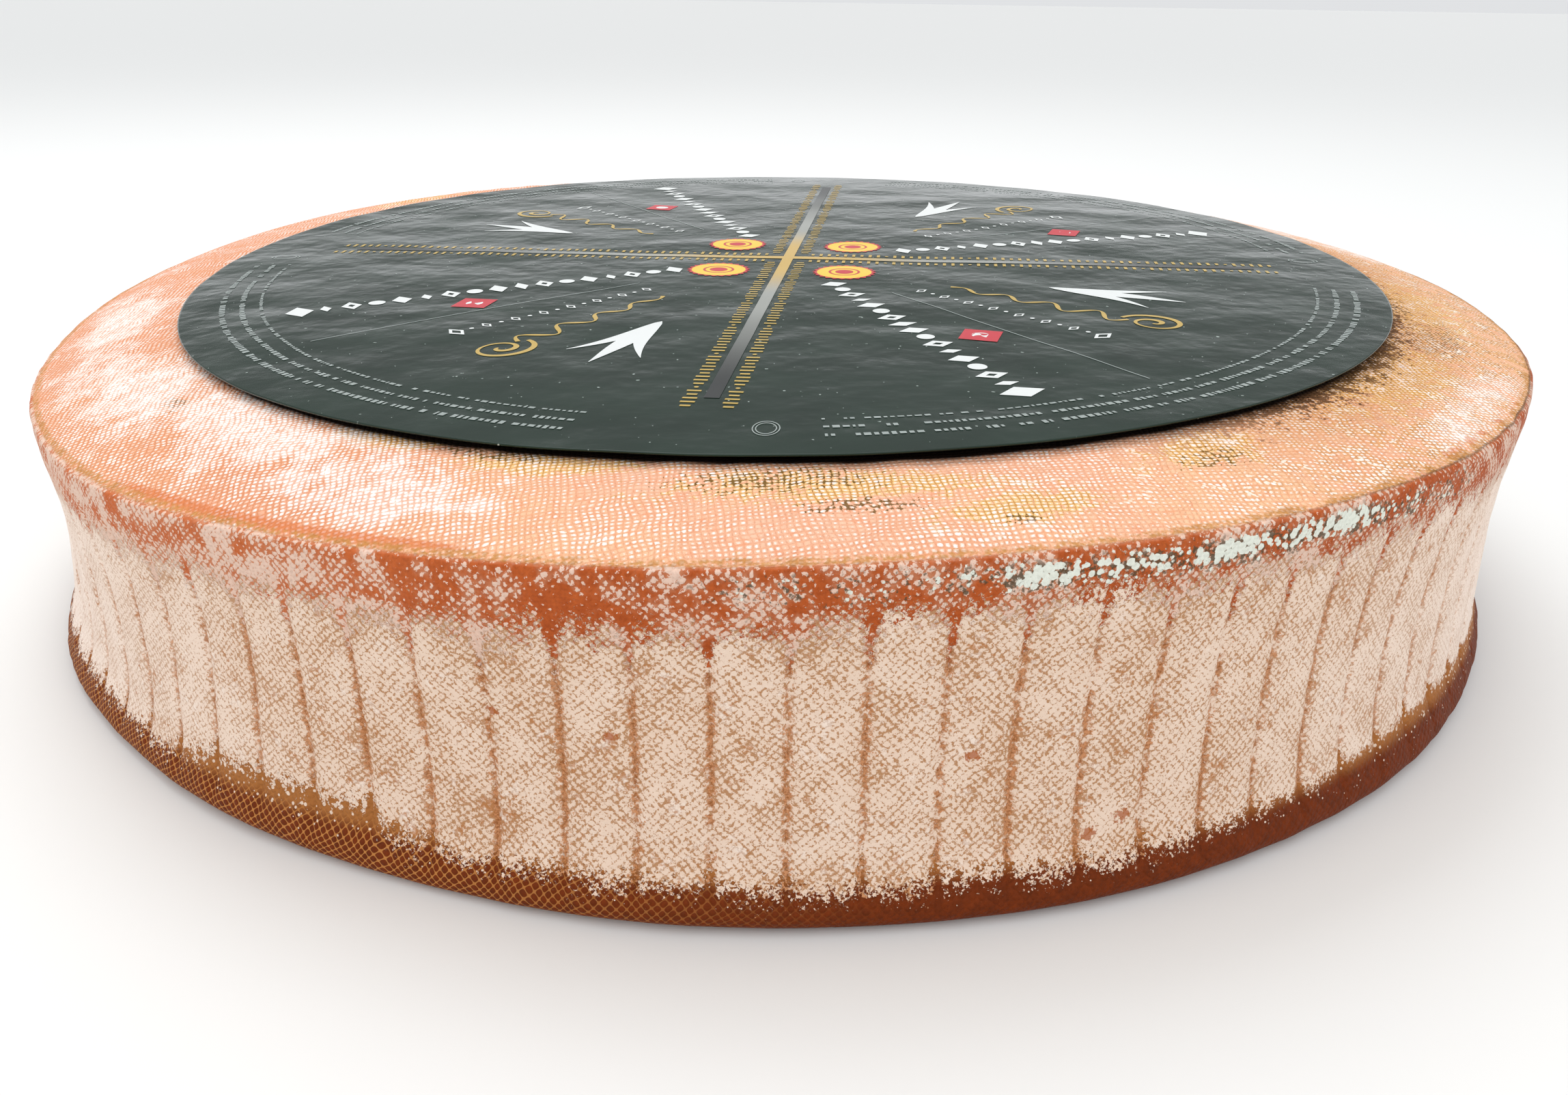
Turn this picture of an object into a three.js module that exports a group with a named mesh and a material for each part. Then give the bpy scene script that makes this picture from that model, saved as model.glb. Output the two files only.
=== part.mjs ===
// A washed-rind alpine cheese wheel with a paper label lying on its crown.
// Millimetres. The origin is the middle of the base, +Z is up, and -Y is the front.
import * as THREE from "three";

// The top face: a crown that stays flat in the middle and falls to the rim.
const RIM_RADIUS = 200; // ring where the top face meets the heel
const RIM_HEIGHT = 70.8; // from the base to that ring, on average
const CROWN_RISE = 8.6; // from the rim up to the middle of the crown
const CROWN_POWER = 8; // the higher it is, the nearer the rim the crown starts to fall

// The heel, which is the wheel's side: a hoop pressed it hollow between its foot and its lip.
const LIP_OVERHANG = 1; // how far the lip stands out past the rim
const LIP_DROP = 4.2; // from the rim down to the lip's widest ring
const WAIST_INSET = 0.9; // the narrowest ring
const WAIST_DROP = 29;
const SHIN_OVERHANG = 0.4; // where the heel starts to spread into the foot
const SHIN_HEIGHT = 16;
const FOOT_OVERHANG = 4; // the wheel has settled on its foot, so this is its widest ring
const FOOT_HEIGHT = 4;
const FOOT_EDGE = 2.8; // how far the foot rounds in to the flat base

// No wheel is level: its rim wanders up and down round the wheel, in a few lobes.
// "towards" is the heading of a high point in degrees from +X, and "fade" is the power
// by which the lobe dies away towards the middle: 1 tilts the whole top face.
const RIM_LOBES = [
  { lobes: 1, height: 4.7, towards: 44, fade: 1 },
  { lobes: 2, height: 2.7, towards: -55, fade: 6 },
  { lobes: 3, height: 2, towards: 26, fade: 6 },
];

// The label: a disc of coated paper that lies on the crown and stands clear of its fall.
const LABEL_MARGIN = 35; // ring of rind left bare between the label and the rim
const LABEL_THICKNESS = 0.4;
const LABEL_GAP = 0.3; // air between the paper and the crown
const LABEL_DRAPE = 0.25; // share of the crown's fall that the paper follows
const LABEL_SHIFT = new THREE.Vector2(1.2, -5.4); // it was laid a little off centre

// Facets.
const ROUND_STEPS = 96;
const HEEL_STEPS = 15;
const CROWN_STEPS = 8;
const LABEL_STEPS = 4;

const rind = new THREE.MeshStandardMaterial({ color: "#d8a07f", roughness: 0.85, metalness: 0 });
const paper = new THREE.MeshStandardMaterial({ color: "#1f2825", roughness: 0.42, metalness: 0 });

// How far the top of the wheel stands above or below its mean height at a place.
function lean(radius, angle) {
  const reach = Math.min(1, radius / RIM_RADIUS);
  return RIM_LOBES.reduce((sum, { lobes, height, towards, fade }) => {
    const turn = lobes * (angle - THREE.MathUtils.degToRad(towards));
    return sum + height * reach ** fade * Math.cos(turn);
  }, 0);
}

function crownFall(radius) {
  return CROWN_RISE * (radius / RIM_RADIUS) ** CROWN_POWER;
}

// Spins a half profile of (radius, height) points round +Z.
// shape(x, y, z) gives each vertex its final height.
function spin(profile, shape) {
  const geometry = new THREE.LatheGeometry(profile, ROUND_STEPS).rotateX(Math.PI / 2);
  const place = geometry.getAttribute("position");
  for (let i = 0; i < place.count; i += 1) {
    place.setZ(i, shape(place.getX(i), place.getY(i), place.getZ(i)));
  }
  geometry.computeVertexNormals();
  return geometry;
}

function heelProfile() {
  const rings = [
    [FOOT_OVERHANG - FOOT_EDGE, 0],
    [FOOT_OVERHANG, FOOT_HEIGHT],
    [SHIN_OVERHANG, SHIN_HEIGHT],
    [-WAIST_INSET, RIM_HEIGHT - WAIST_DROP],
    [LIP_OVERHANG, RIM_HEIGHT - LIP_DROP],
    [0, RIM_HEIGHT],
  ].map(([overhang, height]) => new THREE.Vector2(RIM_RADIUS + overhang, height));
  return new THREE.SplineCurve(rings).getPoints(HEEL_STEPS);
}

// The stations crowd towards the rim, where the crown falls fastest.
function crownProfile() {
  return Array.from({ length: CROWN_STEPS }, (_, i) => {
    const radius = RIM_RADIUS * (1 - ((i + 1) / CROWN_STEPS) ** 2);
    return new THREE.Vector2(radius, RIM_HEIGHT + CROWN_RISE - crownFall(radius));
  });
}

function cheeseWheel() {
  const profile = [new THREE.Vector2(0, 0), ...heelProfile(), ...crownProfile()];
  // The base stays level: a ring takes the lean of the top in proportion to its height.
  const shape = (x, y, z) => z + lean(Math.hypot(x, y), Math.atan2(y, x)) * Math.min(1, z / RIM_HEIGHT);
  const wheel = new THREE.Mesh(spin(profile, shape), rind);
  wheel.name = "cheese_wheel";
  return wheel;
}

function paperLabel() {
  const radius = RIM_RADIUS - LABEL_MARGIN;
  const stations = Array.from({ length: LABEL_STEPS + 1 }, (_, i) => (radius * i) / LABEL_STEPS);
  const profile = [
    ...stations.map((r) => new THREE.Vector2(r, 0)),
    ...stations.reverse().map((r) => new THREE.Vector2(r, LABEL_THICKNESS)),
  ];
  const seat = RIM_HEIGHT + CROWN_RISE + LABEL_GAP;
  const shape = (x, y, z) => {
    const away = Math.hypot(x + LABEL_SHIFT.x, y + LABEL_SHIFT.y);
    const angle = Math.atan2(y + LABEL_SHIFT.y, x + LABEL_SHIFT.x);
    return z + seat + lean(away, angle) - LABEL_DRAPE * crownFall(away);
  };
  const label = new THREE.Mesh(spin(profile, shape), paper);
  label.name = "paper_label";
  label.position.set(LABEL_SHIFT.x, LABEL_SHIFT.y, 0);
  return label;
}

const part = new THREE.Group();
part.add(cheeseWheel(), paperLabel());

export default part;
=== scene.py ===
"""A pressed cheese wheel with a paper label, finished over its CAD frame.

All sizes below are millimetres in the row frame: the origin is the middle of the base, +Z is up
and -Y is the front. Headings are angles round +Z from +X, so the front is at -90 degrees.
"""
import math

import bpy
import numpy as np
from mathutils import Matrix, Vector


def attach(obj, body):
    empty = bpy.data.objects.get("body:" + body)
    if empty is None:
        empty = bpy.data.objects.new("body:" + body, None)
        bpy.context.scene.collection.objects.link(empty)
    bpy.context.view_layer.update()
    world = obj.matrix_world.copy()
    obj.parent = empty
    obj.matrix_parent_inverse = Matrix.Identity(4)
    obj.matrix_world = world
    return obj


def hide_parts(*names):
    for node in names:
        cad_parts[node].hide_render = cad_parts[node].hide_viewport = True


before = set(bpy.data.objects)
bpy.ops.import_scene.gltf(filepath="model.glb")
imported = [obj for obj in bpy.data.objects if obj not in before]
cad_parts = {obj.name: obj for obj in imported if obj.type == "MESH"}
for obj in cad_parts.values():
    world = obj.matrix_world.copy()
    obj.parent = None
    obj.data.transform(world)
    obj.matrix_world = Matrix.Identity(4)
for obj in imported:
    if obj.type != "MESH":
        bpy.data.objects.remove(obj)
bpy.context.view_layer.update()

MM = 0.001

# ---------------------------------------------------------------- driving sizes

RIM_RADIUS = 200.0
RIM_HEIGHT = 70.8
CROWN_RISE = 8.6
CROWN_POWER = 8
# (how far a ring stands out past the rim, its height), from the base up to the rim
HEEL_RINGS = [(1.2, 0.0), (4.0, 4.0), (0.4, 16.0), (-0.9, 41.8), (1.0, 66.6), (0.0, RIM_HEIGHT)]
# (lobes, height, heading of a high point, power by which it fades towards the middle)
RIM_LOBES = [(1, 4.7, 44.0, 1), (2, 2.7, -55.0, 6), (3, 2.0, 26.0, 6)]

LABEL_RADIUS = 165.0
LABEL_CENTRE = (1.2, -5.4)
LABEL_THICKNESS = 0.4
LABEL_GAP = 0.3
LABEL_DRAPE = 0.25
WRINKLE = 0.12  # mean height of the paper's wrinkles

CREASES = 96  # upright creases the hoop's cloth pressed into the heel
CREASE_PHASE = -89.3  # heading of one of them, in degrees
CREASE_DEPTH = 0.7
CREASE_REACH = 1.7  # from a crease's middle to its edge

# ---------------------------------------------------------------- small tools


def smooth_step(value, low, high):
    """0 below low and 1 above high, with an easy rise between them."""
    share = np.clip((value - low) / (high - low), 0, 1)
    return share * share * (3 - 2 * share)


def ring_noise(seed, heading, along, lobes, pitch, waves=14):
    """Smooth noise of about -1 to 1 that closes on itself round the wheel.

    lobes is the (fewest, most) waves in a turn, and pitch the shortest wave along the profile."""
    rng = np.random.default_rng(seed)
    total = 0
    for _ in range(waves):
        turns = rng.integers(lobes[0], lobes[1] + 1)
        rate = rng.uniform(-1, 1) * 2 * math.pi / pitch
        total = total + np.cos(turns * heading + rate * along + rng.uniform(0, 2 * math.pi))
    return total / math.sqrt(2 * waves)


def plane_noise(seed, x, y, pitch, waves=14):
    """Smooth noise of about -1 to 1 over the plane, with waves no shorter than pitch."""
    rng = np.random.default_rng(seed)
    total = 0
    for _ in range(waves):
        turn = rng.uniform(0, 2 * math.pi)
        rate = 2 * math.pi / (pitch * rng.uniform(1, 3))
        along = x * math.cos(turn) + y * math.sin(turn)
        total = total + np.cos(along * rate + rng.uniform(0, 2 * math.pi))
    return total / math.sqrt(2 * waves)


def spline(points, count):
    """A Catmull-Rom curve through points, the same as the CAD part's."""
    points = np.array(points, float)
    last = len(points) - 1
    place = np.linspace(0, last, count)
    start = np.minimum(place.astype(int), last - 1)
    t = (place - start)[:, None]
    before, here = points[np.maximum(start - 1, 0)], points[start]
    ahead, beyond = points[start + 1], points[np.minimum(start + 2, last)]
    enter, leave = (ahead - before) / 2, (beyond - here) / 2
    cubic = (2 * here - 2 * ahead + enter + leave) * t**3
    return cubic + (3 * ahead - 3 * here - 2 * enter - leave) * t**2 + enter * t + here


def lean(radius, heading):
    """How far the top stands above or below its mean height at a place."""
    reach = np.minimum(1, radius / RIM_RADIUS)
    total = 0
    for lobes, height, towards, fade in RIM_LOBES:
        total = total + height * reach**fade * np.cos(lobes * (heading - math.radians(towards)))
    return total


def crown_fall(radius):
    return CROWN_RISE * (radius / RIM_RADIUS) ** CROWN_POWER


def grid_mesh(name, points):
    """A mesh over a grid of points (rows, columns, 3) in millimetres, closed round its columns."""
    rows, columns = points.shape[:2]
    index = np.arange(rows * columns).reshape(rows, columns)
    right = np.roll(index, -1, axis=1)
    faces = np.stack([index[:-1], right[:-1], right[1:], index[1:]], axis=-1)
    mesh = bpy.data.meshes.new(name)
    mesh.from_pydata((points.reshape(-1, 3) * MM).tolist(), [], faces.reshape(-1, 4).tolist())
    mesh.polygons.foreach_set("use_smooth", np.ones(len(mesh.polygons), bool))
    return mesh


def add_piece(mesh, material, *cad_nodes):
    piece = bpy.data.objects.new(mesh.name, mesh)
    bpy.context.scene.collection.objects.link(piece)
    mesh.materials.append(material)
    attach(piece, "root")
    if cad_nodes:
        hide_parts(*cad_nodes)
    return piece


def linear(hex_colour):
    """A colour written as #RRGGBB, as the linear values that Blender's sockets take."""
    values = [int(hex_colour[i : i + 2], 16) / 255 for i in (1, 3, 5)]
    return [v / 12.92 if v <= 0.04045 else ((v + 0.055) / 1.055) ** 2.4 for v in values] + [1.0]


# ---------------------------------------------------------------- material graphs


class Graph:
    """A material's nodes, written as calls that give back sockets."""

    def __init__(self, name):
        self.material = bpy.data.materials.new(name)
        self.material.use_nodes = True
        self.nodes = self.material.node_tree.nodes
        self.links = self.material.node_tree.links
        self.shader = self.nodes["Principled BSDF"]

    def feed(self, socket, value):
        if isinstance(value, bpy.types.NodeSocket):
            self.links.new(value, socket)
        elif isinstance(value, str):
            socket.default_value = linear(value)
        else:
            socket.default_value = value

    def node(self, kind, inputs=(), **settings):
        made = self.nodes.new(kind)
        for name, value in settings.items():
            setattr(made, name, value)
        for name, value in dict(inputs).items():
            self.feed(made.inputs[name], value)
        return made

    def math(self, operation, a, b=0.0):
        return self.node("ShaderNodeMath", {0: a, 1: b}, operation=operation).outputs[0]

    def add(self, a, b):
        return self.math("ADD", a, b)

    def times(self, a, b):
        return self.math("MULTIPLY", a, b)

    def minus(self, a, b):
        return self.math("SUBTRACT", a, b)

    def invert(self, a):
        return self.minus(1.0, a)

    def length(self, x, y):
        return self.math("SQRT", self.add(self.times(x, x), self.times(y, y)))

    def swing(self, weight, *noises):
        """The sum of noises of 0 to 1, moved to swing evenly either side of 0."""
        total = noises[0]
        for noise in noises[1:]:
            total = self.add(total, noise)
        return self.times(self.add(total, -0.5 * len(noises)), weight)

    def smooth(self, value, low, high):
        """0 at low and 1 at high; a low above high makes it fall instead."""
        inputs = {"Value": value, "From Min": low, "From Max": high}
        return self.node("ShaderNodeMapRange", inputs, interpolation_type="SMOOTHSTEP").outputs[0]

    def window(self, value, low, high, soft):
        """1 where value is between low and high, with soft edges."""
        rise = self.smooth(value, low - soft, low + soft)
        return self.times(rise, self.smooth(value, high + soft, high - soft))

    def mix(self, share, a, b):
        made = self.node("ShaderNodeMix", data_type="RGBA")
        for index, value in ((0, share), (6, a), (7, b)):
            self.feed(made.inputs[index], value)
        return made.outputs[2]

    def noise(self, where, scale, detail, rough=0.5):
        """Fractal noise of 0 to 1; scale is in waves per unit of where."""
        inputs = {"Vector": where, "Scale": scale, "Detail": detail, "Roughness": rough}
        return self.node("ShaderNodeTexNoise", inputs).outputs["Fac"]

    def place(self):
        """The place on the object, in millimetres."""
        where = self.node("ShaderNodeTexCoord").outputs["Object"]
        return self.scaled(where, (1 / MM,) * 3)

    def scaled(self, vector, factors):
        made = self.node("ShaderNodeVectorMath", {0: vector, 1: factors}, operation="MULTIPLY")
        return made.outputs[0]

    def split(self, vector):
        made = self.node("ShaderNodeSeparateXYZ", {0: vector})
        return made.outputs[0], made.outputs[1], made.outputs[2]

    def attribute(self, name):
        return self.node("ShaderNodeAttribute", attribute_name=name).outputs["Fac"]

    def heading(self, x, y):
        """Degrees from the front: left is negative and right is positive."""
        turn = self.math("ARCTAN2", x, self.times(y, -1.0))
        return self.times(turn, math.degrees(1))

    def finish(self, colour, roughness, height=None, **sockets):
        self.feed(self.shader.inputs["Base Color"], colour)
        self.feed(self.shader.inputs["Roughness"], roughness)
        for name, value in sockets.items():
            self.feed(self.shader.inputs[name.replace("_", " ")], value)
        if height is not None:
            bump = self.node("ShaderNodeBump", {"Height": height, "Distance": MM})
            self.feed(self.shader.inputs["Normal"], bump.outputs[0])
        return self.material


# ---------------------------------------------------------------- the rind

TOP_BAND = -12.0  # where the bare band under the rim ends, in mm from the rim
FOOT_BAND = -61.5  # where the bare band over the foot starts
LINEN_PITCH = 1.15  # thread spacing of the cloth that marked the top face
LINEN_TURN = 0.14  # how far that cloth is turned, in radians
TWILL_PITCH = 1.3  # the same for the cloth round the heel
TWILL_TURN = 0.75
MM_PER_DEGREE = math.radians(RIM_RADIUS)  # round the rim

# colours of the bloom on the heel, and of what shows through it
BLOOM = "#F1DBC9"
WARM_BLOOM = "#E1C2A9"
SIDE_BLOOM = "#FCEEE4"
FLOUR = "#F7E8DC"
WEAVE_GAP = "#B4835A"
RUST_HAZE = "#B4723C"
RUST = "#A8561E"
CREASE_DEEP = "#8F552B"
CREASE_WORN = "#C98A5C"

# colours of the bare bands under the rim and over the foot
TERRACOTTA = "#CB642C"
DEEP_TERRACOTTA = "#973E10"
LEFT_TERRACOTTA = "#E07C46"
MILKY_LIP = "#D09A78"
LIP_PAD = "#EBCDBA"
MOULD = "#E6E9DC"
MOULD_GAP = "#54452F"
FOOT_BROWN = "#843400"
FOOT_DEEP = "#4C1C00"
FOOT_THREAD = "#CC8A48"
FOOT_RIM = "#A86A34"
FOOT_FLOUR = "#F0DAC6"

# colours of the top face and the underside
SALMON = "#F6CCB0"
DEEP_SALMON = "#ECA47C"
PEACH = "#F6C39C"
ROSE = "#EE9C76"
STRAW = "#E6B682"
LEFT_SALMON = "#E49C78"
LINEN_GAP = "#D27C4A"
TAN = "#D69856"
PALE_CRUMB = "#C48A48"
DARK_CRUMB = "#96602C"
OCHRE_LIGHT = "#FFE2A4"
OCHRE = "#F4BE6C"
OCHRE_GAP = "#C68F48"
OLIVE = "#7A5A1E"
DARK_OLIVE = "#4E3C18"
PINK_BLOOM = "#F8E0D2"
WHITE_BLOOM = "#FFF6F0"
FLECK = "#FFEEDC"
SCRAPED = "#D87840"
RUBBED_GOLD = "#DCA662"
RUBBED_BROWN = "#B06C2E"
LABEL_HALO = "#BE7C3A"
LABEL_MOULD = "#4C2E0E"
# painted shade: near-black rind under the label, so the gap under the label's edge reads as a
# shadow
PAINTED_SHADE_UNDER_LABEL = "#24150C"
UNDERSIDE = "#B5713F"

# (middle, radii, turn in degrees) of the stains on the top face, in mm
WHITE_BLOOMS = [
    ((-72, -168), (36, 14), -24),
    ((-104, -140), (50, 16), -38),
    ((-146, -106), (44, 16), -54),
    ((-176, -50), (50, 12), -72),
    ((176, 60), (60, 14), -70),
    ((148, -124), (40, 9), 50),
    ((-60, 172), (60, 16), 20),
]
OCHRE_STAINS = [
    ((8, -177), (46, 9), 2),
    ((-42, -166), (30, 6), -10),
    ((42, -183), (22, 7), 14),
    ((-74, -150), (24, 7), -24),
    ((-160, -12), (44, 9), -86),
    ((78, -160), (22, 9), 28),
    ((132, -112), (42, 20), 52),
    ((168, -50), (44, 18), 75),
    ((-140, 118), (34, 14), 48),
    ((60, 176), (40, 10), -16),
]
DARK_STAINS = [
    ((0, -175), (26, 7), 2),
    ((14, -184), (14, 4), 4),
    ((80, -162), (12, 5), 30),
    ((132, -104), (34, 9), 53),
    ((160, -80), (26, 10), 62),
    ((41, -187), (5, 2.5), 12),
    ((-52, -161), (16, 4), -18),
    ((-128, -122), (8, 4), -44),
    ((30, 178), (20, 6), -10),
]
# (heading from the front, mm from the rim, size) of rusty spots on the heel
RUST_SPOTS = [
    (9.9, -37.6, 1.7),
    (16.4, -56.1, 1.8),
    (18.3, -53.8, 1.9),
    (-14.0, -30.0, 1.4),
    (-8.0, -33.0, 1.6),
]


def weave(g, u, v, pitch, turn):
    """Height, 0 to 1, of the pads left by a cloth with this pitch, turned by an angle."""
    cosine, sine = math.cos(turn) * math.pi / pitch, math.sin(turn) * math.pi / pitch
    warp = g.add(g.times(u, cosine), g.times(v, sine))
    weft = g.add(g.times(v, cosine), g.times(u, -sine))
    across = g.math("ABSOLUTE", g.math("SINE", warp))
    along = g.math("ABSOLUTE", g.math("SINE", weft))
    return g.times(across, along)


class Rind:
    """The fields the rind's colours are mixed by, shared by the heel and the two faces."""

    def __init__(self, g):
        self.g = g
        where = g.place()
        self.x, self.y, _ = g.split(where)
        self.heading = g.heading(self.x, self.y)
        self.leftish = g.smooth(self.x, -20.0, -110.0)
        self.rightish = g.smooth(self.x, 60.0, 150.0)
        self.right_lip = g.smooth(self.heading, -6.0, 14.0)
        self.run = g.attribute("run")
        self.crease = g.attribute("crease")
        self.add_noises(where)
        self.add_cloths(where)

    def add_noises(self, where):
        """Noises from the broadest to the finest, and the distance inside round cells."""
        g = self.g
        self.broad = g.noise(where, 0.022, 2)
        self.patch = g.noise(where, 0.075, 4, 0.6)
        self.blotch = g.noise(where, 0.21, 3, 0.6)
        self.grit = g.noise(where, 0.55, 3, 0.6)
        self.crumb = g.noise(where, 0.9, 2, 0.65)
        self.fine = g.noise(where, 2.0, 2, 0.7)
        self.ragged = g.add(g.swing(11.0, self.patch), g.swing(9.0, self.grit))
        cells = {"Vector": where, "Scale": 0.75}
        self.cell = g.node("ShaderNodeTexVoronoi", cells).outputs["Distance"]

    def add_cloths(self, where):
        """The marks of both cloths, whose threads wander a little."""
        g = self.g
        cloth = g.node("ShaderNodeUVMap", uv_map="cloth").outputs[0]
        u, v, _ = g.split(g.scaled(cloth, (1 / MM,) * 3))
        bent_u = g.add(u, g.times(g.noise(where, 0.13, 1), 2.6))
        bent_v = g.add(v, g.times(g.noise(where, 0.11, 1), 2.6))
        self.linen = weave(g, bent_u, bent_v, LINEN_PITCH, LINEN_TURN)
        self.twill = weave(g, bent_u, bent_v, TWILL_PITCH, TWILL_TURN)

    def blob(self, centre, radii, turn=0.0):
        """1 in the middle of an ellipse on the top face, falling to 0 at its edge."""
        g = self.g
        cosine, sine = math.cos(math.radians(turn)), math.sin(math.radians(turn))
        dx, dy = g.add(self.x, -centre[0]), g.add(self.y, -centre[1])
        along = g.times(g.add(g.times(dx, cosine), g.times(dy, sine)), 1 / radii[0])
        across = g.times(g.add(g.times(dy, cosine), g.times(dx, -sine)), 1 / radii[1])
        return g.smooth(g.length(along, across), 1.15, 0.2)

    def most(self, masks):
        total = masks[0]
        for mask in masks[1:]:
            total = self.g.math("MAXIMUM", total, mask)
        return total

    def stains(self, places):
        return self.most([self.blob(*place) for place in places])


def powdery_bloom(g, r, sideways):
    """Bloom on the pads of a fine weave, with the brown rind in its gaps."""
    bloom = g.mix(g.times(sideways, 0.9), g.mix(r.patch, BLOOM, WARM_BLOOM), SIDE_BLOOM)
    level = g.add(g.times(r.twill, 0.36), g.swing(1.5, r.fine))
    level = g.add(level, g.swing(-0.5, r.blotch, r.patch))
    netted = g.times(g.smooth(level, 0.17, -0.03), g.add(0.95, g.times(sideways, -0.92)))
    heel = g.mix(netted, bloom, WEAVE_GAP)
    floury = g.smooth(g.add(r.grit, g.swing(0.8, r.blotch)), 0.6, 0.78)
    return g.mix(g.times(floury, 0.55), heel, FLOUR)


def rust_spots(g, r):
    marks = []
    for heading, run, size in RUST_SPOTS:
        across = g.times(g.add(r.heading, -heading), MM_PER_DEGREE / size)
        up = g.times(g.add(r.run, -run), 1.3 / size)
        away = g.add(g.length(across, up), g.swing(3.0, r.crumb))
        marks.append(g.smooth(away, 0.9, 0.5))
    return r.most(marks)


def rusted(g, r, heel):
    """Faint rusty patches and a few small spots."""
    rusty = g.smooth(g.add(g.add(r.blotch, r.crumb), g.times(r.patch, 0.5)), 1.42, 1.54)
    heel = g.mix(g.times(rusty, 0.6), heel, RUST_HAZE)
    return g.mix(g.times(rust_spots(g, r), 0.8), heel, RUST)


def crease_lines(g, r, heel, sideways):
    """Broken brown lines along the creases, gone where bloom has filled them."""
    open_crease = g.smooth(g.add(r.grit, g.swing(0.8, r.patch)), 0.36, 0.5)
    line = g.add(r.crease, g.swing(2.0, r.fine, r.crumb))
    line = g.times(g.smooth(line, 0.5, 0.78), open_crease)
    line = g.times(line, g.add(0.95, g.times(sideways, -0.65)))
    return g.mix(line, heel, g.mix(g.smooth(r.fine, 0.35, 0.65), CREASE_DEEP, CREASE_WORN))


def bloomed_heel(g, r):
    """The heel between its bare bands, paler and plainer at both sides of the wheel."""
    off_front = g.math("ABSOLUTE", r.heading)
    sideways = g.times(g.smooth(off_front, 18.0, 75.0), g.smooth(off_front, 165.0, 105.0))
    heel = rusted(g, r, powdery_bloom(g, r, sideways))
    return crease_lines(g, r, heel, sideways)


def lip_colour(g, r):
    """Terracotta rind under the rim, with pale pads of the weave where bloom took hold."""
    left = g.smooth(r.heading, -8.0, -28.0)
    terracotta = g.mix(r.grit, TERRACOTTA, DEEP_TERRACOTTA)
    terracotta = g.mix(g.times(left, 0.4), terracotta, LEFT_TERRACOTTA)
    milky = g.add(g.times(r.blotch, 0.9), g.times(r.patch, 0.7))
    milky = g.add(milky, g.add(g.times(r.right_lip, 0.03), g.times(left, 0.09)))
    lip = g.mix(g.times(g.smooth(milky, 0.72, 1.0), 0.55), terracotta, MILKY_LIP)
    pads = g.add(g.times(r.twill, 0.6), g.swing(1.4, r.fine, r.crumb))
    pads = g.add(pads, g.times(g.add(milky, -0.8), 2.4))
    return g.mix(g.times(g.smooth(pads, 0.36, 0.54), 0.85), lip, LIP_PAD)


def mould_on(g, r, heel):
    """Crumbs of pale mould with dark gaps, just under the rim at the right of the front."""
    cluster = g.times(g.window(r.heading, 10.0, 36.0, 4.0), g.window(r.run, -5.6, -1.6, 2.0))
    stray = g.times(g.window(r.heading, -4.0, 44.0, 3.0), g.window(r.run, -7.5, -1.0, 1.6))
    thick = g.times(cluster, g.add(-0.17, g.times(r.patch, 1.25)))
    mouldy = g.add(thick, g.times(stray, g.add(-0.35, g.times(r.blotch, 1.1))))
    shade = g.smooth(g.add(g.add(r.crumb, g.times(mouldy, 0.35)), -0.2), 0.42, 0.56)
    heel = g.mix(g.times(shade, g.times(stray, 0.9)), heel, MOULD_GAP)
    crumbs = g.minus(g.add(mouldy, g.add(g.times(r.fine, 0.4), -0.25)), r.cell)
    return g.mix(g.smooth(crumbs, -0.03, 0.06), heel, MOULD)


def foot_colour(g, r):
    """Smooth brown rind over the foot, with pale threads of the cloth at its left."""
    threads = g.times(g.smooth(r.twill, 0.3, 0.08), g.smooth(r.heading, 8.0, -22.0))
    brown = g.mix(r.grit, FOOT_BROWN, FOOT_DEEP)
    brown = g.mix(g.times(threads, 0.75), brown, FOOT_THREAD)
    brown = g.mix(g.smooth(r.run, FOOT_BAND - 1.0, FOOT_BAND + 3.0), brown, FOOT_RIM)
    powder = g.add(0.2, g.times(g.add(r.run, -FOOT_BAND), 0.035))
    powder = g.minus(g.add(powder, g.swing(0.6, r.grit)), r.cell)
    return g.mix(g.times(g.smooth(powder, 0.0, 0.05), 0.85), brown, FOOT_FLOUR)


def lip_mask(g, r):
    """1 on the bare band under the rim, whose edge hangs in rags and down the creases."""
    lower_edge = g.add(TOP_BAND, g.times(r.right_lip, 3.0))
    hanging = g.add(g.add(r.run, r.ragged), g.times(r.crease, 8.0))
    hanging = g.add(hanging, g.swing(14.0, r.fine, r.crumb))
    return g.smooth(g.minus(hanging, lower_edge), -1.2, 1.2)


def foot_mask(g, r):
    """1 on the bare band over the foot, which is higher at its left and far right."""
    smeared = g.times(g.window(r.heading, -36.0, -20.0, 4.0), 5.0)
    high = g.add(smeared, g.times(g.smooth(r.heading, 22.0, 48.0), 4.5))
    calm = g.add(1.0, g.times(g.smooth(r.heading, 18.0, 40.0), -0.65))
    frayed = g.add(g.times(r.ragged, 0.8), g.swing(11.0, r.fine, r.crumb))
    standing = g.add(g.add(r.run, g.times(r.crease, -3.0)), g.times(frayed, calm))
    return g.smooth(g.minus(standing, high), FOOT_BAND + 0.7, FOOT_BAND - 0.7)


def heel_colour(g, r):
    """The heel's colour, and a mask of its bare bands at the lip and the foot."""
    lip, foot = lip_mask(g, r), foot_mask(g, r)
    heel = g.mix(lip, bloomed_heel(g, r), lip_colour(g, r))
    heel = mould_on(g, r, heel)
    heel = g.mix(foot, heel, foot_colour(g, r))
    return heel, g.math("MAXIMUM", lip, foot)


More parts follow.
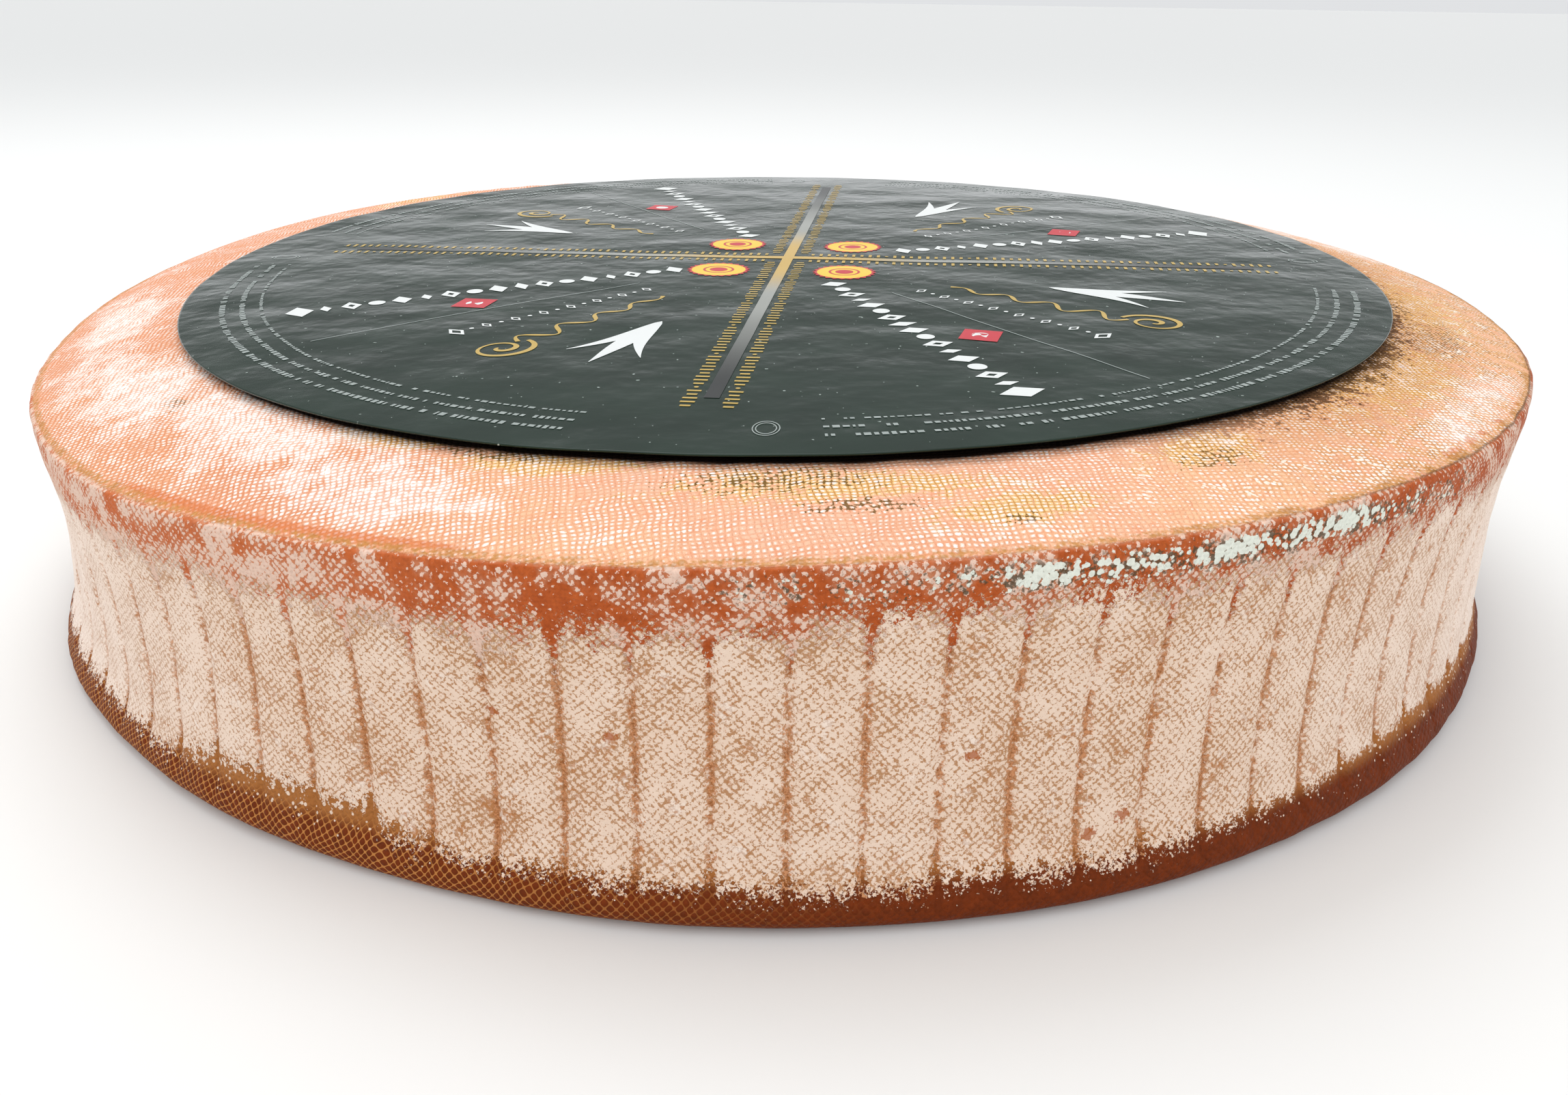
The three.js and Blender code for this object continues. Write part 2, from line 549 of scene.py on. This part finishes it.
def bare_top(g, r):
    """Salmon rind, darker in the gaps of the weave, with tan crumbs at the right."""
    salmon = g.mix(r.patch, SALMON, DEEP_SALMON)
    salmon = g.mix(g.smooth(r.broad, 0.4, 0.65), salmon, PEACH)
    salmon = g.mix(g.times(g.smooth(r.grit, 0.45, 0.7), 0.5), salmon, ROSE)
    salmon = g.mix(g.times(r.rightish, g.smooth(r.blotch, 0.35, 0.6)), salmon, STRAW)
    salmon = g.mix(g.times(r.leftish, 0.55), salmon, LEFT_SALMON)
    pads = g.smooth(g.add(r.linen, g.swing(0.9, r.fine)), 0.1, 0.38)
    woven = g.add(0.34, g.times(r.leftish, 0.3))
    top = g.mix(g.times(g.invert(pads), woven), salmon, LINEN_GAP)
    tanned = g.smooth(g.add(r.blotch, g.swing(0.9, r.patch)), 0.44, 0.6)
    top = g.mix(g.times(tanned, g.times(r.rightish, 0.6)), top, TAN)
    crumbs = g.add(g.swing(0.6, r.crumb), g.swing(1.0, r.grit, r.blotch))
    crumbs = g.times(g.smooth(crumbs, 0.03, 0.12), g.times(r.rightish, 0.65))
    return g.mix(crumbs, top, g.mix(r.fine, PALE_CRUMB, DARK_CRUMB)), pads


def stained_top(g, r, top, pads):
    """Ochre stains that the weave shows through, with olive dots in places."""
    ochre = g.add(r.stains(OCHRE_STAINS), g.swing(2.2, r.blotch, r.crumb))
    ochre = g.smooth(g.add(ochre, g.swing(1.5, r.patch)), 0.35, 0.95)
    yellow = g.mix(r.blotch, OCHRE_LIGHT, OCHRE)
    top = g.mix(g.times(ochre, 0.85), top, g.mix(pads, OCHRE_GAP, yellow))
    dark = r.stains(DARK_STAINS)
    dots = g.add(g.times(r.crumb, 0.8), g.add(g.times(dark, 0.17), g.times(r.linen, -0.12)))
    dots = g.times(g.smooth(dots, 0.5, 0.56), g.smooth(dark, 0.0, 0.3))
    return g.mix(g.times(dots, 0.85), top, g.mix(r.grit, OLIVE, DARK_OLIVE))


def bloomed_top(g, r, top):
    """White bloom that takes to the pads of the weave first, and pale flecks at the right."""
    dusty = g.add(g.times(r.stains(WHITE_BLOOMS), 0.34), g.times(r.leftish, 0.05))
    uneven = g.times(g.add(g.add(r.patch, g.times(r.blotch, 0.8)), -0.9), 0.95)
    dusty = g.add(dusty, g.add(0.45, uneven))
    grains = g.add(g.swing(0.7, r.fine), g.swing(1.5, r.crumb))
    grains = g.add(grains, g.swing(0.9, r.grit))
    level = g.add(dusty, g.add(g.times(grains, 0.8), g.times(g.add(r.linen, -0.4), 0.75)))
    top = g.mix(g.times(g.smooth(dusty, 0.56, 0.84), 0.4), top, PINK_BLOOM)
    top = g.mix(g.times(g.smooth(level, 0.66, 0.74), 0.9), top, PINK_BLOOM)
    top = g.mix(g.smooth(level, 0.88, 0.98), top, WHITE_BLOOM)
    flecks = g.add(g.swing(1.3, r.blotch), g.swing(0.7, r.grit))
    flecks = g.smooth(g.minus(g.add(flecks, 0.2), r.cell), 0.0, 0.08)
    return g.mix(g.times(flecks, g.times(g.smooth(r.x, 10.0, 90.0), 0.85)), top, FLECK)


def worn_rim(g, r, top):
    """Orange where the rind is scraped beside the rim, and a rubbed line along the rim."""
    left = g.times(g.window(r.heading, -40.0, -14.0, 5.0), g.window(r.run, 0.6, 3.6, 1.6))
    right = g.times(g.window(r.heading, 38.0, 60.0, 6.0), g.window(r.run, 0.6, 3.4, 2.2))
    right = g.times(right, g.smooth(r.blotch, 0.35, 0.6))
    scraped = g.add(g.math("MAXIMUM", left, right), g.swing(1.2, r.crumb))
    top = g.mix(g.times(g.smooth(scraped, 0.45, 0.8), 0.7), top, SCRAPED)
    from_rim = g.math("ABSOLUTE", g.add(r.run, g.times(r.blotch, -1.4)))
    broken = g.smooth(g.add(r.crumb, g.times(r.blotch, 0.5)), 0.6, 0.85)
    rubbed = g.times(g.smooth(from_rim, 1.5, 0.5), broken)
    return g.mix(g.times(rubbed, 0.85), top, g.mix(r.blotch, RUBBED_GOLD, RUBBED_BROWN))


def label_surround(g, r, top):
    """Damp, mouldy rind that creeps out from the label at the right, and painted shade on the rind
    under the label.
    """
    middle = g.length(g.add(r.x, -LABEL_CENTRE[0]), g.add(r.y, -LABEL_CENTRE[1]))
    beyond = g.add(middle, -LABEL_RADIUS)
    right = g.smooth(r.heading, 18.0, 40.0)
    halo = g.smooth(g.add(beyond, g.swing(24.0, r.blotch)), 22.0, 4.0)
    top = g.mix(g.times(right, g.times(halo, 0.4)), top, LABEL_HALO)
    crumbly = g.add(g.swing(12.0, r.blotch), g.swing(16.0, r.crumb))
    mould = g.smooth(g.add(g.times(beyond, 0.5), crumbly), 1.8, 0.4)
    top = g.mix(g.times(right, g.times(mould, 0.85)), top, LABEL_MOULD)
    # painted shade: the rind under the label is near black, so the gap under its edge reads dark
    return g.mix(g.smooth(beyond, -1.0, -2.5), top, PAINTED_SHADE_UNDER_LABEL)


def top_colour(g, r):
    """The top face, built up from the bare rind."""
    top, pads = bare_top(g, r)
    top = stained_top(g, r, top, pads)
    top = bloomed_top(g, r, top)
    top = worn_rim(g, r, top)
    return label_surround(g, r, top)


def rind_relief(g, r, bare, on_top):
    """Height in mm of the cloth's pads, of fine grain, and of lumps at the top's right."""
    heel_cloth = g.times(g.times(r.twill, bare), g.invert(on_top))
    cloth = g.times(g.add(heel_cloth, g.times(r.linen, on_top)), 0.22)
    grain = g.add(g.times(r.fine, 0.12), g.times(r.grit, 0.35))
    lumps = g.add(g.times(r.blotch, 1.6), g.times(r.grit, 0.5))
    return g.add(g.add(cloth, grain), g.times(lumps, g.times(r.rightish, on_top)))


def rind_material():
    g = Graph("rind")
    r = Rind(g)
    heel, bare = heel_colour(g, r)
    top = top_colour(g, r)
    on_top = g.smooth(r.run, -0.5, 0.5)
    colour = g.mix(on_top, heel, top)
    inwards = g.add(g.add(r.run, g.times(r.ragged, 0.5)), RIM_HEIGHT)
    colour = g.mix(g.smooth(inwards, -5.0, -12.0), colour, g.mix(r.patch, top, UNDERSIDE))
    roughness = g.add(0.85, g.times(g.times(bare, g.invert(on_top)), -0.25))
    return g.finish(colour, roughness, rind_relief(g, r, bare, on_top), Specular_IOR_Level=0.15)


# ---------------------------------------------------------------- the wheel's mesh

HEEL_ROWS = 52
BASE_ROWS = 8
BARE_RING = 43  # how far in from the rim the top face has a row of points at each millimetre
COLUMN_OFFSETS = [0, 0.35, 0.8, 1.5, 3.4]  # of the mesh's columns from a crease's middle, in mm
COLUMN_WANDER = 0.2  # how far the creases stray sideways
HEEL_SWELL = 0.6  # the broad unevenness of the heel, then of the top face
CROWN_SWELL = 0.3
DENTS = 0.15


def heel_stations():
    rings = [(RIM_RADIUS + overhang, height) for overhang, height in HEEL_RINGS]
    return spline(rings, HEEL_ROWS)


def crown_stations():
    """(radius, height) rows from the rim to the middle, close together where the rind shows."""
    bare_ring = np.arange(1.0, BARE_RING + 1.0, 1.0)
    under_label = np.linspace(50.0, RIM_RADIUS, 12)
    radius = RIM_RADIUS - np.concatenate([bare_ring, under_label])
    return np.stack([radius, RIM_HEIGHT + CROWN_RISE - crown_fall(radius)], axis=1)


def wheel_profile():
    """(radius, height) stations, and how far each is past the rim: below it is negative."""
    base_radius = RIM_RADIUS + HEEL_RINGS[0][0]
    base = [(r, 0.0) for r in np.linspace(0, base_radius, BASE_ROWS + 1)[:-1]]
    heel, crown = heel_stations(), crown_stations()
    run = [-RIM_HEIGHT - base_radius + r for r, _ in base]
    run += [height - RIM_HEIGHT for _, height in heel]
    run += [RIM_RADIUS - radius for radius, _ in crown]
    return np.vstack([base, heel, crown]), np.array(run), len(base)


def crease_columns():
    """The headings of the mesh's columns, which crowd at each crease, and how near each is."""
    gap = 2 * math.pi / CREASES
    offsets = np.array(COLUMN_OFFSETS) / RIM_RADIUS
    offsets = np.concatenate([-offsets[:0:-1], offsets])
    middles = math.radians(CREASE_PHASE) + gap * np.arange(CREASES)
    near = np.maximum(0, 1 - np.abs(offsets) * RIM_RADIUS / CREASE_REACH)
    return (middles[:, None] + offsets).ravel(), np.tile(near, CREASES)


def wheel_mesh():
    profile, run, base_rows = wheel_profile()
    columns, near = crease_columns()
    radius, height = profile[:, :1], profile[:, 1:]
    along = run[:, None]
    wobble = COLUMN_WANDER * ring_noise(3, columns, along, (10, 60), 60) / RIM_RADIUS
    heading = columns + wobble * (along < 0)

    on_heel = smooth_step(along, -RIM_HEIGHT - 1, -RIM_HEIGHT + 4) * (along <= 0)
    on_crown = smooth_step(along, 0, 6)
    creased = smooth_step(along, -RIM_HEIGHT, -RIM_HEIGHT + 14) * smooth_step(-along, 3, 16)
    swell = HEEL_SWELL * ring_noise(5, heading, along, (3, 16), 60)
    dents = DENTS * ring_noise(6, heading, along, (40, 120), 9)
    groove = CREASE_DEPTH * near * creased
    push = (swell + dents - groove) * on_heel
    lift = (CROWN_SWELL * ring_noise(7, heading, along, (2, 12), 60) + dents) * on_crown

    out = radius + push
    level = height + lean(radius, heading) * np.minimum(1, height / RIM_HEIGHT) + lift
    points = np.stack([out * np.cos(heading), out * np.sin(heading), level], axis=-1)
    mesh = grid_mesh("wheel_rind", points)
    add_field(mesh, "run", np.broadcast_to(along, level.shape))
    add_field(mesh, "crease", near * creased)
    add_cloth_map(mesh, points, heading, run, base_rows)
    return mesh


def add_field(mesh, name, values):
    field = mesh.attributes.new(name, "FLOAT", "POINT")
    field.data.foreach_set("value", np.ascontiguousarray(values, np.float32).ravel())


def add_cloth_map(mesh, points, heading, run, base_rows):
    """Cloth coordinates in metres: round and up the heel, and straight across both faces."""
    rows, columns = heading.shape
    wrapped = np.concatenate([heading, heading[:, :1] + 2 * math.pi], axis=1)
    flat = np.concatenate([points[:, :, :2], points[:, :1, :2]], axis=1)
    rolled = np.stack([wrapped * RIM_RADIUS, np.broadcast_to(run[:, None], wrapped.shape)], axis=-1)
    row = np.arange(rows - 1)
    is_heel = (row >= base_rows) & (run[1:] <= 0)
    corners = []
    for down, side in ((0, 0), (0, 1), (1, 1), (1, 0)):
        window = (slice(down, rows - 1 + down), slice(side, columns + side))
        corners.append(np.where(is_heel[:, None, None], rolled[window], flat[window]))
    layer = mesh.uv_layers.new(name="cloth")
    layer.uv.foreach_set("vector", (np.stack(corners, axis=2) * MM).astype(np.float32).ravel())


# ---------------------------------------------------------------- the label

LABEL_RINGS = 70
LABEL_SPOKES = 300
PAPER = "#0A1E14"
PALE_PAPER = "#122D1F"
PAPER_DUST = "#A5B0AA"


def label_height(x, y):
    """Height of the paper's upper face at a place, with its soft wrinkles."""
    radius, heading = np.hypot(x, y), np.arctan2(y, x)
    seat = RIM_HEIGHT + CROWN_RISE + LABEL_GAP + LABEL_THICKNESS
    wrinkle = WRINKLE * np.maximum(0, 1 + plane_noise(21, x, y, 22))
    return seat + wrinkle + lean(radius, heading) - LABEL_DRAPE * crown_fall(radius)


def label_mesh():
    ring = LABEL_RADIUS * np.append(np.linspace(0, 0.998, LABEL_RINGS), 1.0)[:, None]
    heading = np.linspace(0, 2 * math.pi, LABEL_SPOKES, endpoint=False)
    x = LABEL_CENTRE[0] + ring * np.cos(heading)
    y = LABEL_CENTRE[1] + ring * np.sin(heading)
    upper = np.stack([x, y, label_height(x, y)], axis=-1)
    lower = upper[::-1].copy()
    lower[..., 2] -= LABEL_THICKNESS
    points = np.concatenate([lower[::-1], upper[::-1]])
    return grid_mesh("label_paper", points)


def paper_material():
    g = Graph("paper")
    where = g.place()
    cloud = g.noise(where, 0.05, 3)
    dust = g.smooth(g.noise(where, 0.8, 1), 0.765, 0.8)
    colour = g.mix(dust, g.mix(cloud, PAPER, PALE_PAPER), PAPER_DUST)
    soft = g.add(0.13, g.times(cloud, 0.14))
    grain = g.add(g.times(g.noise(where, 0.4, 2), 0.05), g.times(g.noise(where, 0.07, 2), 0.4))
    return g.finish(colour, g.add(soft, g.times(dust, 0.4)), grain, IOR=1.37)


# ---------------------------------------------------------------- the print on the label

BAR_TURN = -6.75  # heading of the bar that crosses the label from side to side, in degrees
INK_LIFT = 0.09  # the ink's height over the paper
BAR_WIDTH = 3.2
BAR_REACH = 134.0
COLUMN_OFFSET = 4.3  # from a bar's middle to the column of ticks at its side
SEAL_PLACE = 18.0  # a seal's middle from both bars
SEAL_RADIUS = 8.6
OVAL_REACH = 151.6
PRINT_SHIFT = (1.2, 0.6)  # the print's middle from the paper's
# how far the ornaments of each quarter are turned from their even places, in degrees
QUARTER_TURNS = (3.0, -3.5, -8.0, -3.0)
GOLD = "#C2A24A"
WHITE = "#E3E6E4"
GREY = "#97A09C"
RED = "#C42232"
YELLOW = "#EBC83C"
# the bars' colours, from the label's middle outwards
BAR_GOLD = "#C9A654"
BAR_SILVER = "#9A9C96"
BAR_DARK = "#0E1412"


class Ink:
    """Flat printed shapes of one colour, gathered in label coordinates and laid on the paper."""

    def __init__(self):
        self.points, self.faces, self.count = [], [], 0

    def grid(self, points):
        """points is (rows, columns, 2); neighbouring rows and columns are joined by faces."""
        rows, columns = points.shape[:2]
        index = self.count + np.arange(rows * columns).reshape(rows, columns)
        self.count += rows * columns
        quads = np.stack([index[:-1, :-1], index[1:, :-1], index[1:, 1:], index[:-1, 1:]], axis=-1)
        self.points.append(points.reshape(-1, 2))
        self.faces += quads.reshape(-1, 4).tolist()

    def ribbon(self, path, widths, place):
        """A band along path, (count, 2), with a width at each of its points."""
        path = np.array(path, float)
        ahead = np.gradient(path, axis=0)
        side = np.stack([-ahead[:, 1], ahead[:, 0]], axis=1) / np.hypot(*ahead.T)[:, None]
        half = np.broadcast_to(np.array(widths, float) / 2, len(path))[:, None]
        self.grid(place(np.stack([path - side * half, path + side * half], axis=1)))

    def bar(self, start, end, width, place, steps=2):
        share = np.linspace(0, 1, steps)[:, None]
        path = np.array(start) * (1 - share) + np.array(end) * share
        self.ribbon(path, width, place)

    def ring(self, middle, inner, outer, place, sides=32, scallops=0, squash=1.0):
        """A ring, or a disc when inner is 0; scallops is how many lobes its outer edge has."""
        turn = np.linspace(0, 2 * math.pi, sides + 1)
        edge = outer * (1 + 0.06 * np.cos(scallops * turn)) if scallops else outer
        share = np.linspace(0, 1, 4)[:, None]
        radius = inner * (1 - share) + edge * share
        shape = np.stack([radius * np.cos(turn), squash * radius * np.sin(turn)], axis=-1)
        self.grid(place(shape + np.array(middle)))

    def piece(self, name, colour, roughness=0.35):
        """colour is one colour, or a function that draws it in the material's graph."""
        flat = np.concatenate(self.points)
        x = flat[:, 0] + LABEL_CENTRE[0] + PRINT_SHIFT[0]
        y = flat[:, 1] + LABEL_CENTRE[1] + PRINT_SHIFT[1]
        points = np.stack([x, y, label_height(x, y) + INK_LIFT], axis=1)
        mesh = bpy.data.meshes.new(name)
        mesh.from_pydata((points * MM).tolist(), [], self.faces)
        g = Graph(name)
        if callable(colour):
            colour = colour(g)
        add_piece(mesh, g.finish(colour, roughness))


def fading_gold(g):
    """Gold at the middle of the label, then silver, then the paper's own dark."""
    x, y, _ = g.split(g.place())
    away = g.length(g.add(x, -LABEL_CENTRE[0]), g.add(y, -LABEL_CENTRE[1]))
    silver = g.mix(g.smooth(away, 14.0, 46.0), BAR_GOLD, BAR_SILVER)
    return g.mix(g.smooth(away, 45.0, 125.0), silver, BAR_DARK)


def turned(degrees):
    """A placing function: turns shapes round the label's middle."""
    cosine, sine = math.cos(math.radians(degrees)), math.sin(math.radians(degrees))
    spin = np.array([[cosine, sine], [-sine, cosine]])
    return lambda points: points @ spin


def print_bars(ink, gold):
    for arm in range(4):
        place = turned(BAR_TURN + 90 * arm)
        start = 0.0 if arm % 2 else BAR_WIDTH / 2
        ink.bar((start, 0), (BAR_REACH, 0), BAR_WIDTH, place, 60)
        for side in (-COLUMN_OFFSET, COLUMN_OFFSET):
            print_ticks(gold, place, side, 7.0, BAR_REACH + 8)


def print_ticks(ink, place, side, start, end):
    """A column of fine upright ticks in groups, with a dot between the groups."""
    step, group, thickness, height = 2.45, 9, 0.9, 3.0
    count = int((end - start) / step)
    for tick in range(count):
        along = start + tick * step
        if tick % (group + 1) == group:
            ink.ring((along, side), 0, 0.55, place, 8)
        else:
            tall = height * (1.0 if tick % 3 else 0.72)
            ink.bar((along, side - tall / 2), (along, side + tall / 2), thickness, place)


def print_headline(ink, place):
    """A row of lozenges and dots with two larger lozenges, from the label's edge inwards."""
    step = 6.35
    for mark in range(17):
        along = 138.0 - mark * step
        size = 9.6 if mark in (0, 9) else 7.2
        if mark % 4 == 1:
            ink.ring((along, 0), 0, size * 0.2, place, 4, squash=2.0)
        elif mark % 4 == 3:
            ink.ring((along, 0), 0, size * 0.3, place, 20)
        else:
            inner = size * 0.13 if mark % 4 == 2 else 0
            ink.ring((along, 0), inner, size * 0.36, place, 4, squash=1.5)


def print_sprig(white, place):
    """Three brush-like leaves from one stalk."""
    share = np.linspace(0, 1, 20)
    for reach, bend, width in ((36, 1, 5.0), (29, -9, 3.8), (29, 10, 3.8)):
        path = np.stack([80 + reach * share, bend * share**2], axis=1)
        white.ribbon(path, width * np.sin(math.pi * share**0.7) + 0.15, place)


def print_vine(gold, place):
    """A waving line that ends in a curl near the label's edge."""
    share = np.linspace(0, 1, 90)
    phase = share * 8 * math.pi
    path = np.stack([58 + 52 * share, 2.4 * np.sin(phase) * (0.5 + share)], axis=1)
    gold.ribbon(path, 0.5 + 0.7 * np.cos(phase) ** 2, place)
    turn = np.linspace(0, 3.4 * math.pi, 70)
    radius = 8.2 * (1 - turn / (3.8 * math.pi))
    curl = np.stack([116 - radius * np.cos(turn), radius * np.sin(turn) * 0.9 + 1], axis=1)
    gold.ribbon(curl, 1.1 + 0.4 * np.sin(turn), place)


def print_subtitle(ink, place):
    """Small spaced ornaments in a row, on a fine rule."""
    for mark in range(15):
        along = 114.0 - mark * 4.2
        tall = 7.0 if mark == 0 else 4.4
        if mark % 2:
            ink.ring((along, 0), 0, 0.6, place, 10)
        else:
            ink.ring((along, 0), tall * 0.16, tall * 0.28, place, 4, squash=1.7)


def print_small_rows(ink, place):
    """Three rows of tiny dashes that follow the label's edge between the bars."""
    rng = np.random.default_rng(11)
    for radius, height in ((146.6, 1.0), (151.2, 1.5), (156.0, 1.7)):
        turn = math.radians(9)
        while turn < math.radians(81):
            length = rng.uniform(0.5, 1.5)
            if rng.random() > 0.16:
                sweep = np.linspace(turn, turn + length / radius, 2)
                path = radius * np.stack([-np.cos(sweep), -np.sin(sweep)], axis=1)
                ink.ribbon(path, height * rng.uniform(0.6, 1.0), place)
            turn += (length + 0.55) / radius


def print_seal(yellow, red, middle, place):
    red.ring(middle, SEAL_RADIUS * 0.9, SEAL_RADIUS, place, 96, scallops=24)
    yellow.ring(middle, SEAL_RADIUS * 0.52, SEAL_RADIUS * 0.9, place, 48)
    red.ring(middle, SEAL_RADIUS * 0.44, SEAL_RADIUS * 0.52, place, 48)
    yellow.ring(middle, SEAL_RADIUS * 0.3, SEAL_RADIUS * 0.44, place, 40)
    red.ring(middle, 0, SEAL_RADIUS * 0.3, place, 32)


def print_quarter(quarter, gold, white, grey, red, yellow):
    """The ornament between two arms of the bars."""
    base = BAR_TURN + 90 * quarter
    square = turned(base)

    def line(degrees):
        return turned(base + 180 + QUARTER_TURNS[quarter] + degrees)

    print_headline(white, line(30))
    print_subtitle(white, line(50))
    grey.bar((52, 0), (142, 0), 0.3, line(42), 60)
    red.ring((97.5, 0), 0, 6.4, line(37.5), 4)
    white.ring((97.5, 0), 0, 2.2, line(37.5), 20)
    print_vine(gold, line(59))
    print_sprig(white, line(71))
    print_small_rows(grey, square)
    print_seal(yellow, red, (-SEAL_PLACE, -SEAL_PLACE), square)
    for outer in (4.3, 3.3):
        grey.ring((-OVAL_REACH, 0), outer - 0.35, outer, turned(base + 5), 40, squash=0.62)


def build_print():
    bars, gold, white, grey, red, yellow = (Ink() for _ in range(6))
    print_bars(bars, gold)
    for quarter in range(4):
        print_quarter(quarter, gold, white, grey, red, yellow)
    bars.piece("print_bars", fading_gold, 0.3)
    gold.piece("print_gold", GOLD, 0.3)
    white.piece("print_white", WHITE)
    grey.piece("print_grey", GREY)
    red.piece("print_red", RED)
    yellow.piece("print_yellow", YELLOW)


# ---------------------------------------------------------------- the scene


def build_wheel():
    wheel = add_piece(wheel_mesh(), rind_material(), "cheese_wheel")


def build_label():
    label = add_piece(label_mesh(), paper_material(), "paper_label")
    build_print()


# (sine of the elevation, brightness) of the room behind the wheel and in front of it
SKY_BEHIND = [
    (0.0, 0.6),
    (0.03, 0.6),
    (0.07, 1.15),
    (0.13, 1.15),
    (0.24, 0.15),
    (0.5, 0.4),
    (1.0, 1.0),
]
SKY_BEFORE = [(0.0, 0.5), (0.12, 0.5), (0.35, 1.0), (0.7, 1.0), (1.0, 1.0)]
SKY_STRENGTH = 1.3
SKY_TINT = (0.965, 0.98, 1.0)

CAMERA_PLACE = (0.0, -370.2, 150.4)
CAMERA_YAW, CAMERA_PITCH, CAMERA_ROLL = 0.0067, 0.4240, 0.0155  # in radians
SENSOR_WIDTH = 36.0
LENS = 27.88
FLOOR_HALF_SIDE = 80.0  # in metres
FLOOR_COLOUR = "#E9E9E7"


def build_camera():
    data = bpy.data.cameras.new("camera")
    data.sensor_width = SENSOR_WIDTH
    data.lens = LENS
    yaw, pitch, roll = CAMERA_YAW, CAMERA_PITCH, CAMERA_ROLL
    flat_ahead = np.array([math.sin(yaw), math.cos(yaw), 0.0])
    ahead = flat_ahead * math.cos(pitch) - np.array([0.0, 0.0, math.sin(pitch)])
    level = np.array([math.cos(yaw), -math.sin(yaw), 0.0])
    up = np.cross(level, ahead)
    right = math.cos(roll) * level + math.sin(roll) * up
    above = -math.sin(roll) * level + math.cos(roll) * up
    matrix = np.eye(4)
    matrix[:3, :4] = np.stack([right, above, -ahead, np.array(CAMERA_PLACE) * MM], axis=1)
    camera = bpy.data.objects.new("camera", data)
    camera.matrix_world = Matrix(matrix.tolist())
    data.clip_start = 0.01
    bpy.context.scene.collection.objects.link(camera)
    bpy.context.scene.camera = camera


def build_floor():
    g = Graph("floor")
    side = FLOOR_HALF_SIDE
    mesh = bpy.data.meshes.new("floor")
    corners = [(-side, -side, 0), (side, -side, 0), (side, side, 0), (-side, side, 0)]
    mesh.from_pydata(corners, [], [(0, 1, 2, 3)])
    floor = bpy.data.objects.new("floor", mesh)
    bpy.context.scene.collection.objects.link(floor)
    mesh.materials.append(g.finish(FLOOR_COLOUR, 0.9))


def area_light(name, place, target, size, power):
    data = bpy.data.lights.new(name, "AREA")
    data.shape = "RECTANGLE"
    data.size, data.size_y = size
    data.energy = power
    light = bpy.data.objects.new(name, data)
    bpy.context.scene.collection.objects.link(light)
    towards = np.array(target, float) - np.array(place, float)
    light.location = place
    light.rotation_mode = "QUATERNION"
    light.rotation_quaternion = Vector(towards).to_track_quat("-Z", "Y")


def sky_ramp(tree, height, levels):
    ramp = tree.nodes.new("ShaderNodeValToRGB")
    tree.links.new(height, ramp.inputs[0])
    for position, _ in levels[1:-1]:
        ramp.color_ramp.elements.new(position)
    for element, (_, level) in zip(ramp.color_ramp.elements, levels):
        element.color = [level * tint for tint in SKY_TINT] + [1]
    return ramp.outputs[0]


def light_sky(tree):
    """A white room: behind the wheel it is bright low down, in front of it bright higher up."""
    where = tree.nodes.new("ShaderNodeTexCoord")
    split = tree.nodes.new("ShaderNodeSeparateXYZ")
    behind = tree.nodes.new("ShaderNodeMapRange")
    blend = tree.nodes.new("ShaderNodeMix")
    blend.data_type = "RGBA"
    behind.inputs["From Min"].default_value = -0.5
    behind.inputs["From Max"].default_value = 0.3
    tree.links.new(where.outputs["Generated"], split.inputs[0])
    tree.links.new(split.outputs[1], behind.inputs["Value"])
    tree.links.new(behind.outputs[0], blend.inputs[0])
    tree.links.new(sky_ramp(tree, split.outputs[2], SKY_BEFORE), blend.inputs[6])
    tree.links.new(sky_ramp(tree, split.outputs[2], SKY_BEHIND), blend.inputs[7])
    background = tree.nodes["Background"]
    background.inputs["Strength"].default_value = SKY_STRENGTH
    tree.links.new(blend.outputs[2], background.inputs["Color"])


def build_lights():
    world = bpy.data.worlds.new("world")
    world.use_nodes = True
    light_sky(world.node_tree)
    bpy.context.scene.world = world
    area_light("overhead", (-0.3, 0.5, 1.5), (0, 0, 0), (1.0, 0.8), 9)


def main():
    bpy.context.scene.view_settings.view_transform = "Standard"
    build_wheel()
    build_label()
    build_floor()
    build_lights()
    build_camera()


main()
